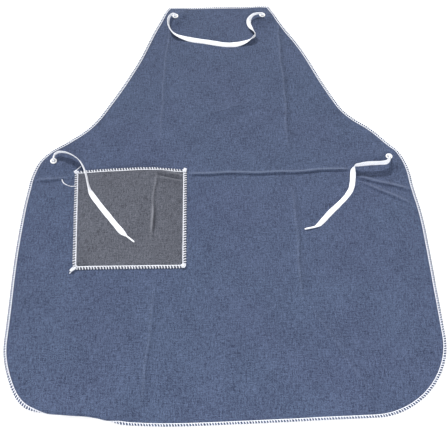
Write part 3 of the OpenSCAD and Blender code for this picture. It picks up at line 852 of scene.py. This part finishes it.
def chain(bundle, edge, start, end, step, inset, surface):
    """Two strands that twist along a line of stitches."""
    per_stitch = 8
    s = np.linspace(start, end, int((end - start) / step * per_stitch) + 2)
    for strand in (0, math.pi):
        turn = 2 * math.pi * (s - start) / step + strand
        spots = edge.inside(s, inset + CHAIN_RADIUS * np.cos(turn))
        path = surface(spots[:, 0], spots[:, 1],
                       THICK + CHAIN_RADIUS + CHAIN_RISE * np.sin(turn))
        bundle.tube(path, (0, 0, 1), CHAIN_WIDE + CHAIN_CHANGE * np.cos(2 * turn))


def body_overlock():
    top_line = HALF_LENGTH - BIB_ROUND
    hem_line = HEM_CORNER_Y + HEM_ROUND
    for part, wanted in (("hem", stretch(-math.inf, hem_line)),
                         ("right_side", stretch(hem_line, FOLD_Y, 1)),
                         ("right_armhole", stretch(FOLD_Y, top_line, 1)),
                         ("bib_top", stretch(top_line, math.inf)),
                         ("left_armhole", stretch(FOLD_Y, top_line, -1)),
                         ("left_side", stretch(hem_line, FOLD_Y, -1))):
        made = overlock(part, BODY, wanted, STITCH, BAND, lay)
        if part == "hem":
            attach(made, "skirt")
        elif part == "bib_top":
            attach(made, "bib")
        else:
            fold(made)


def pocket_lay(x, y, above):
    """Points of the pocket in space, at heights above its underside."""
    return np.stack(np.broadcast_arrays(x, y, pocket_top(x, y) - THICK + above), axis=-1)


def pocket_overlock():
    low_line = POCKET_LOW[1] + POCKET_ROUND
    high_line = POCKET_HIGH[1] - 1.5
    for part, wanted in (("bottom", stretch(-math.inf, low_line)),
                         ("right", stretch(low_line, high_line, 1, POCKET_X)),
                         ("mouth", stretch(high_line, math.inf)),
                         ("left", stretch(low_line, high_line, -1, POCKET_X))):
        made = overlock(f"pocket_{part}", POCKET, wanted, POCKET_STITCH, POCKET_BAND, pocket_lay)
        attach(made, "skirt")


def pocket_seam():
    """Lock stitches just inside the overlock on three sides: short dashes that dip at each end."""
    bundle = Bundle()
    start, end = POCKET.run(lambda p: p[:, 1] < POCKET_HIGH[1] - 4)
    length = 2.6
    s = np.arange(start + 3, end - 3, length)
    for at in s:
        t = np.linspace(0, 1, 5)
        spots = POCKET.inside(at + 0.08 * length + t * length * 0.84, np.full(5, POCKET_BAND + 0.9))
        x, y = spots[:, 0], spots[:, 1]
        z = pocket_top(x, y) - 0.15 + 0.42 * np.sin(np.pi * t)
        bundle.tube(np.stack([x, y, z], axis=1), (0, 0, 1), 0.5)
    made = bundle.make("pocket_seam_stitches", THREAD)
    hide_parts("pocket_seam")
    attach(made, "skirt")


def tack(name, centre, lean, long, wide, strands):
    """A bar of threads laid side by side over a corner, with a few that cross it."""
    bundle = Bundle()
    way = heading(lean)
    aside = np.array([-way[1], way[0]])
    t = np.linspace(-0.5, 0.5, 9)
    for i in range(strands):
        off = (i / (strands - 1) - 0.5) * wide
        reach = long * (1 - 0.25 * abs(off / wide)) * random.uniform(0.85, 1.1)
        bend = random.normal(0, 0.5)
        spots = (centre + way * (t * reach)[:, None]
                 + aside * (off + bend * np.sin(np.pi * (t + 0.5)))[:, None])
        z = pocket_top(spots[:, 0], spots[:, 1]) + 0.6 + 0.9 * np.cos(np.pi * t)
        bundle.tube(np.column_stack([spots, z]), (0, 0, 1), 0.85)
    for i in range(4):
        off = (i / 3 - 0.5) * long * 0.6
        spots = centre + way * off + aside * (t * wide * 1.25)[:, None]
        z = pocket_top(spots[:, 0], spots[:, 1]) + 0.9 + 1.1 * np.cos(np.pi * t)
        bundle.tube(np.column_stack([spots, z]), (0, 0, 1), 0.85)
    made = bundle.make(f"{name}_threads", THREAD)
    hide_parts(name)
    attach(made, "skirt")


def pocket_tacks():
    top, bottom, foot = POCKET_TOP_HALF, POCKET_BOTTOM_HALF, POCKET_X + POCKET_LEAN
    high, low = POCKET_HIGH[1], POCKET_LOW[1]
    tack("pocket_tack_top_left", np.array([POCKET_X - top + 2.5, high - 2.5]), 135, 9, 5, 6)
    tack("pocket_tack_top_right", np.array([POCKET_X + top - 3, high - 1.5]), 75, 10, 4.5, 6)
    tack("pocket_tack_bottom_left", np.array([foot - bottom + 0.5, low + 0.5]), 38, 12, 4.5, 6)
    tack("pocket_tack_bottom_right", np.array([foot + bottom - 4, low + 4]), 60, 8.5, 5, 6)


# ---------- thread ends ----------

def thread_end(name, route, curl):
    """A loose end of thread: a few strands that wander apart."""
    bundle = Bundle()
    path = spline(np.array(route, float), 8)
    share = np.linspace(0, 1, len(path))
    for strand in range(3):
        turn = 2 * math.pi * (share * curl + strand / 3)
        spread = 0.35 + 0.5 * share
        moved = path + np.column_stack([np.cos(turn) * spread, np.sin(turn) * spread,
                                        0.3 + 0.3 * np.sin(turn * 1.3)])
        bundle.tube(moved, (0, 0, 1), 0.65)
    made = bundle.make(f"{name}_strands", THREAD)
    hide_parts(name)
    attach(made, "skirt")


# ---------- tapes ----------

# The routes of part.scad: x, y, z of the middle, width, thickness, roll in degrees.
NECK_ROUTE = [
    (-92, 426, 12.0, 4.6, 2.8, 90), (-97, 427, 12.6, 5.0, 2.6, 90),
    (-102, 423, 12.2, 6.5, 2.0, 80), (-106, 413, 11.4, 9.0, 1.5, 68),
    (-106, 399, 10.0, 10.0, 1.3, 62), (-101, 384, 8.2, 10.0, 1.3, 58),
    (-90, 372, 6.2, 10.0, 1.3, 30), (-72, 363, 4.6, 10.0, 1.3, -5),
    (-51, 356, 4.6, 10.0, 1.3, -25), (-30, 352, 4.4, 10.0, 1.3, -22),
    (-9, 347, 4.4, 10.0, 1.3, -22), (14, 342, 4.6, 10.0, 1.3, -25),
    (36, 343, 4.6, 10.0, 1.3, -20), (55, 350, 5.2, 10.0, 1.3, 15),
    (70, 361, 6.6, 10.0, 1.3, 75), (75, 368, 6.9, 10.0, 1.3, 95),
    (73, 376, 6.8, 10.0, 1.3, 115), (67, 389, 5.4, 10.0, 1.3, 155),
    (63, 402, 6.0, 10.0, 1.3, 160), (64, 412, 8.6, 9.0, 1.4, 150),
    (71, 421, 11.6, 6.5, 2.0, 125), (80, 424, 13.4, 5.2, 2.4, 95),
    (87, 425, 12.6, 4.8, 2.6, 90), (92, 426, 12.0, 4.6, 2.8, 90),
]
LEFT_ROUTE = [
    (-311, 46, 12.0, 4.6, 2.8, 90), (-310, 52, 13.0, 5.0, 2.6, 90),
    (-308, 58, 13.4, 6.0, 2.0, 90), (-302, 62, 13.4, 7.5, 1.6, 85),
    (-293, 62, 13.0, 9.0, 1.4, 75), (-283, 59, 12.4, 10.0, 1.3, 70),
    (-272, 52, 12.0, 10.0, 1.3, 70), (-261, 41, 11.6, 10.0, 1.3, 70),
    (-253, 25, 11.6, 10.0, 1.3, 70), (-247, 8, 11.7, 10.0, 1.3, 70),
    (-243, -8, 11.2, 10.0, 1.3, 70), (-239, -21, 9.8, 10.0, 1.3, 55),
    (-235, -30, 8.2, 10.0, 1.3, 20), (-228, -41, 7.0, 10.0, 1.3, 5),
    (-216, -58, 6.5, 10.0, 1.3, 0), (-202, -77, 6.5, 10.0, 1.3, 0),
    (-188, -96, 6.3, 10.0, 1.3, 0), (-177, -110, 6.1, 10.0, 1.3, 0),
    (-172, -115, 6.1, 7.0, 1.6, 0), (-168, -119, 6.2, 3.0, 2.2, 0),
]
RIGHT_ROUTE = [
    (311, 46, 12.0, 4.6, 2.8, 90), (311, 40, 12.9, 6.0, 2.2, 65),
    (308, 33, 13.0, 8.5, 1.6, 58), (302, 28, 13.2, 10.0, 1.3, 72),
    (288, 26, 13.8, 10.0, 1.3, 80), (268, 25, 13.8, 10.0, 1.3, 80),
    (253, 24, 12.2, 10.0, 1.3, 86), (245, 23, 10.6, 10.0, 1.3, 98),
    (241, 17, 7.8, 10.0, 1.3, 140), (240, 7, 4.6, 10.0, 1.3, 172),
    (238, -8, 2.5, 10.0, 1.3, 180), (233, -25, 2.3, 10.0, 1.3, 180),
    (222, -42, 2.3, 10.0, 1.3, 180), (208, -57, 2.3, 10.0, 1.3, 180),
    (193, -72, 2.3, 10.0, 1.3, 180), (179, -88, 2.3, 10.0, 1.3, 180),
    (171, -97, 2.5, 9.0, 1.4, 180), (166, -101, 2.8, 6.0, 1.8, 180),
    (161, -104, 3.0, 3.0, 2.2, 180),
]
LEFT_TIP_END = np.array([-154, -131, 5.4])
RIGHT_TIP_END = np.array([143, -108, 3.0])
TIP_LAP = 3
TIP_RADIUS = 1.7
TAPE_WIDTH = 10.0


def spline(points, steps):
    """A smooth curve through points, steps pieces between each two."""
    padded = np.concatenate([points[:1], points, points[-1:]])
    t = (np.arange(steps) / steps)[:, None]
    runs = []
    for i in range(len(points) - 1):
        a, b, c, d = padded[i:i + 4]
        runs.append(0.5 * (2 * b + (c - a) * t + (2 * a - 5 * b + 4 * c - d) * t ** 2
                           + (3 * b - a - 3 * c + d) * t ** 3))
    return np.concatenate(runs + [points[-1:]])


def tape_section(columns=9):
    """A flat tape's section, from -0.5 to 0.5 each way: full edges and a slightly hollow middle."""
    u = np.linspace(-1, 1, columns)
    body = 0.5 * (1 - 0.9 * np.abs(u) ** 10) * (0.86 + 0.14 * np.abs(u) ** 3)
    upper = np.column_stack([u / 2, body])
    lower = np.column_stack([u[::-1] / 2, -body[::-1]])
    return np.concatenate([upper, lower])


def tape(name, route, node, body):
    """A woven tape along its route, with its yarns' places kept for the weave."""
    steps = 14 if FINE else 7
    path = spline(np.array(route, float), steps)
    place = path[:, :3]
    ahead = np.gradient(place, axis=0)
    ahead /= np.linalg.norm(ahead, axis=1, keepdims=True)
    level = np.column_stack([ahead[:, 1], -ahead[:, 0], 0 * ahead[:, 0]])
    level /= np.linalg.norm(level, axis=1, keepdims=True)
    up = np.cross(level, ahead)
    roll = np.radians(path[:, 5])[:, None]
    wide = level * np.cos(roll) + up * np.sin(roll)
    thin = up * np.cos(roll) - level * np.sin(roll)
    run = np.concatenate([[0], np.cumsum(np.linalg.norm(np.diff(place, axis=0), axis=1))])
    section = tape_section()
    edge_ripple = 1 + 0.03 * np.sin(run / 7.3) + 0.02 * np.sin(run / 3.1 + 1)
    cup = 0.18 * np.sin(run / 11) + 0.1 * np.sin(run / 4.3)
    width = path[:, 3] * edge_ripple
    q = section[None, :, :]
    bend = cup[:, None] * (4 * q[..., 0] ** 2 - 0.5) * (path[:, 3] / TAPE_WIDTH)[:, None]
    rings = (place[:, None, :] + wide[:, None, :] * (q[..., 0] * width[:, None])[..., None]
             + thin[:, None, :] * (q[..., 1] * path[:, 4][:, None] + bend)[..., None])
    count, sides = len(path), len(section)
    marks = np.stack(np.broadcast_arrays(run[:, None], q[..., 0] * TAPE_WIDTH + TAPE_WIDTH / 2,
                                         q[..., 1]), axis=-1)
    made = new_mesh(name, rings.reshape(-1, 3), tube_faces(count, sides), COTTON,
                    {"tape_at": marks.reshape(-1, 3)})
    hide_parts(node)
    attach(made, body)
    return made, place * MM, run[-1] * MM


def tip(name, route, end, node, body):
    """The film wound round a tie's end and pinched to a point."""
    bundle = Bundle()
    last = np.array(route[-1][:3], float)
    way = unit(end - last)
    t = np.linspace(0, 1, 28)
    path = last - way * TIP_LAP + (end - last + way * TIP_LAP) * t[:, None]
    taper = np.interp(t, [0, 0.03, 0.12, 0.85, 0.97, 1], [0.86, 0.97, 1, 0.92, 0.72, 0.3])
    seam = 1 + 0.02 * np.sin(t * 40)
    bundle.tube(path, (0, 0, 1), 2 * TIP_RADIUS * taper * seam, 1.8 * TIP_RADIUS * taper, 16)
    made = bundle.make(name, FILM)
    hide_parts(node)
    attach(made, body)
    return made


def knot(name, spot, away, body):
    """The overhand knot behind an eyelet, its tail, and the bunched tape up through the hole."""
    bundle = Bundle()
    height = LIFT - 1.1
    strand = 3.1
    t = np.linspace(0, 2 * np.pi, 90)
    loop = np.column_stack([np.sin(t) + 2 * np.sin(2 * t), np.cos(t) - 2 * np.cos(2 * t), 0 * t])
    loop *= (KNOT_RADIUS - strand / 2 - 0.2) / 3
    loop[:, 2] = height / 2 - np.sin(3 * t) * (height - strand) / 2
    bundle.tube(loop + [spot[0], spot[1], 0], (0, 0, 1), strand * (1 + 0.05 * np.sin(t * 17)),
                sides=10)
    rise = np.linspace(1.3, EYELET_TOP + 2.6, 20)
    lean = 0.5 * np.sin(rise * 0.8)
    neck = np.column_stack([spot[0] + lean, spot[1] - lean, rise])
    fat = np.interp(rise, [0, LIFT, EYELET_TOP, EYELET_TOP + 2.6], [4.6, 4.4, 4.0, 3.2])
    bundle.tube(neck, (1, 0, 0), fat, fat * 0.9, 14)
    way = heading(away)
    s = np.linspace(0, 1, 12)
    tail = np.column_stack([spot[0] + way[0] * (4 + 12 * s), spot[1] + way[1] * (4 + 12 * s),
                            1.6 - 0.5 * s])
    bundle.tube(tail, (-way[1], way[0], 0), 4 + 4 * smooth_step(s * 2), 1.3, 10)
    made = bundle.make(f"{name}_cloth", COTTON)
    marks = made.data.attributes["thread_at"]
    values = np.zeros(len(made.data.vertices) * 3, np.float32)
    marks.data.foreach_get("vector", values)
    layer = made.data.attributes.new("tape_at", "FLOAT_VECTOR", "POINT")
    layer.data.foreach_set("vector", values * np.tile([1, TAPE_WIDTH, 1], len(values) // 3))
    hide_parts(name)
    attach(made, body)


def tapes():
    neck, path, length = tape("neck_tape_cloth", NECK_ROUTE, "neck_tape", "neck_loop")
    for side, route, end in (("left", LEFT_ROUTE, LEFT_TIP_END),
                             ("right", RIGHT_ROUTE, RIGHT_TIP_END)):
        body = f"{side}_waist_tie"
        tie, path, length = tape(f"{side}_tie_cloth", route, f"{side}_tie", body)
        film = tip(f"{side}_tie_film", route, end, f"{side}_tie_tip", body)


def hardware():
    """The eyelets and washers keep their CAD shapes and get their finish."""
    for name in EYELETS:
        for kind, finish in (("eyelet", ENAMEL), ("washer", PLATED)):
            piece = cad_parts[f"{name}_{kind}"]
            for holder in piece.material_slots:
                holder.material = finish


# ---------- stage ----------

def light(name, kind, location, size, power):
    """A soft light on the apron. size is a disc's width in metres or a sun's angle in radians."""
    data = bpy.data.lights.new(name, kind)
    if kind == "AREA":
        data.shape = "DISK"
        data.size = size
    else:
        data.angle = size
    data.energy = power
    made = bpy.data.objects.new(name, data)
    bpy.context.collection.objects.link(made)
    made.location = location
    made.rotation_euler = look_at(location, (0, 0, 0))


def stage():
    side = 6.0
    mesh = bpy.data.meshes.new("floor")
    corners = [(x * side, y * side, FLOOR_LEVEL) for x, y in ((-1, -1), (1, -1), (1, 1), (-1, 1))]
    mesh.from_pydata(corners, [], [(0, 1, 2, 3)])
    made, tree, skin = material("floor_paper")
    kept = add(tree, "ShaderNodeTexCoord")
    soft = noise(tree, kept.outputs["Object"], 2, 0.5, 3)
    base = mix(tree, soft, (0.93, 0.93, 0.93, 1), (0.95, 0.95, 0.95, 1))
    dress(tree, skin, base, {"Roughness": 0.95, "Specular IOR Level": 0.0})
    mesh.materials.append(made)
    floor = bpy.data.objects.new("floor", mesh)
    bpy.context.collection.objects.link(floor)
    light("key", "SUN", (-0.9, 2.2, 1.5), 0.1, 5.0)
    light("fill", "AREA", (0.2, -2.4, 1.5), 2.0, 72)
    world = bpy.data.worlds.new("studio")
    world.use_nodes = True
    world.node_tree.nodes["Background"].inputs[0].default_value = (1, 1, 1, 1)
    world.node_tree.nodes["Background"].inputs[1].default_value = 0.7
    bpy.context.scene.world = world
    bpy.context.scene.view_settings.view_transform = "Standard"


tapes()
body_cloth()
pocket_cloth()
body_overlock()
pocket_overlock()
pocket_seam()
pocket_tacks()
thread_end("loose_thread", [(-267, -8, 2.8), (-273, -9, 2.4), (-280, -7, 2.2), (-287, -3, 2.2),
                            (-291, 2, 2.4), (-293, 8, 2.8)], 5)
thread_end("mouth_thread_end", [(-269, 26.5, 2.4), (-265, 31, 2.5), (-261, 36, 2.3)], 2)
thread_end("bottom_thread_end", [(-257.5, -185, 2.2), (-259.5, -187, 2.3), (-261, -189, 2.1)], 1)
for side, away in (("left_neck", -60), ("right_neck", 240)):
    knot(f"{side}_knot", EYELETS[side], away, "bib")
for side, away in (("left_waist", -40), ("right_waist", 220)):
    knot(f"{side}_knot", EYELETS[side], away, "skirt")
hardware()
stage()
